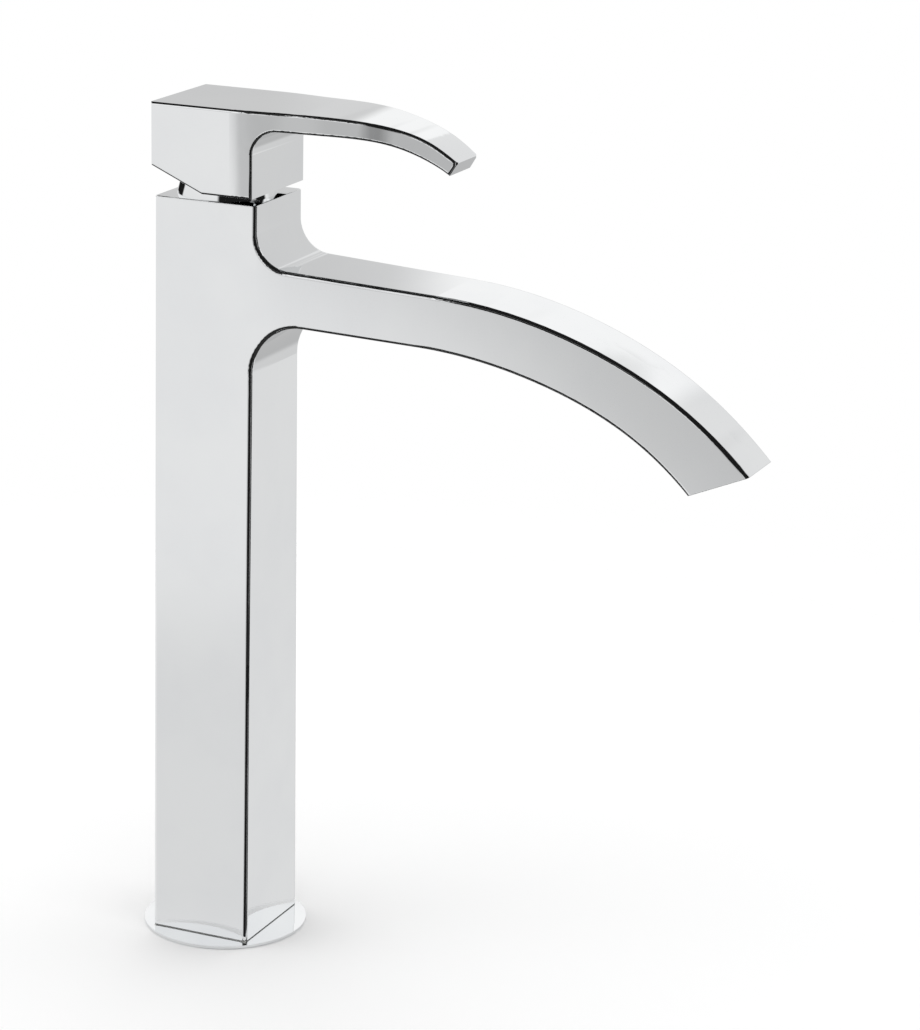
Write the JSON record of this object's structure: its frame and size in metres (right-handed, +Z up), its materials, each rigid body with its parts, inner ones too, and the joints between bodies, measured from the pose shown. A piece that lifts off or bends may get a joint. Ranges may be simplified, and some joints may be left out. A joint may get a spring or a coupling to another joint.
{
  "type": "kitchen mixer tap",
  "caption": "Tall single-lever kitchen mixer tap with a square column, a flat tapering spout that bends down at its end and a curved lever on top.",
  "frame": {"origin": "on the column's axis, on the deck surface under the base flange", "axes": "+Z up along the column, +X towards the outlet with the spout at rest, +Y to the left of someone looking along +X"},
  "size_m": [0.2417, 0.0626, 0.3225],
  "materials": {
    "chrome_plate": "bright polished chrome plating on cast metal",
    "brass": "turned, unplated",
    "steel": "plain stainless",
    "grey_plastic": "moulded, fine matt",
    "white_plastic": "moulded slide-ring plastic",
    "jet_plastic": "moulded, light grey",
    "index_plastic": "glossy plug, half red and half blue",
    "black_rubber": "moulded elastomer",
    "white_ceramic": "lapped technical ceramic"
  },
  "bodies": {
    "base": {"base_flange": "chrome_plate", "base_gasket": "black_rubber", "lower_slide_ring": "white_plastic", "upper_slide_ring": "white_plastic"},
    "swivel_body": {"body_casting": "chrome_plate", "dog_point_screw": "steel", "valve_seat": "brass", "seat_o_ring": "black_rubber", "cartridge_base": "grey_plastic", "port_seals": "black_rubber", "disc_seal": "black_rubber", "fixed_ceramic_disc": "white_ceramic", "cartridge_housing": "grey_plastic", "cartridge_o_ring": "black_rubber", "retaining_nut": "brass", "trim_collar": "chrome_plate", "aerator_ring": "chrome_plate", "aerator_insert": "jet_plastic", "aerator_washer": "black_rubber"},
    "rotor": {"cartridge_rotor": "grey_plastic"},
    "disc_pack": {"moving_ceramic_disc": "white_ceramic", "disc_slider": "grey_plastic"},
    "lever": {"handle": "chrome_plate", "lever_stem": "steel", "pivot_pin": "steel", "handle_grub_screw": "steel", "index_plug": "index_plastic"}
  },
  "joints": [
    {"name": "body_swivel", "type": "hinge", "parent": "base", "child": "swivel_body", "pos_m": [0, 0, 0], "axis": [0, 0, 1], "range_deg": [-55, 55]},
    {"name": "handle_turn", "type": "hinge", "parent": "swivel_body", "child": "rotor", "pos_m": [0, 0, 0.28], "axis": [0, 0, 1], "range_deg": [-50, 50]},
    {"name": "handle_lift", "type": "hinge", "parent": "rotor", "child": "lever", "pos_m": [0, 0, 0.28], "axis": [0, -1, 0], "range_deg": [0, 25]},
    {"name": "disc_slide", "type": "slide", "parent": "rotor", "child": "disc_pack", "axis": [1, 0, 0], "range_m": [0, 0.00263]}
  ],
  "couplings": [
    {"joint": "disc_slide", "follows": "handle_lift", "m_per_rad": 0.0060051}
  ]
}
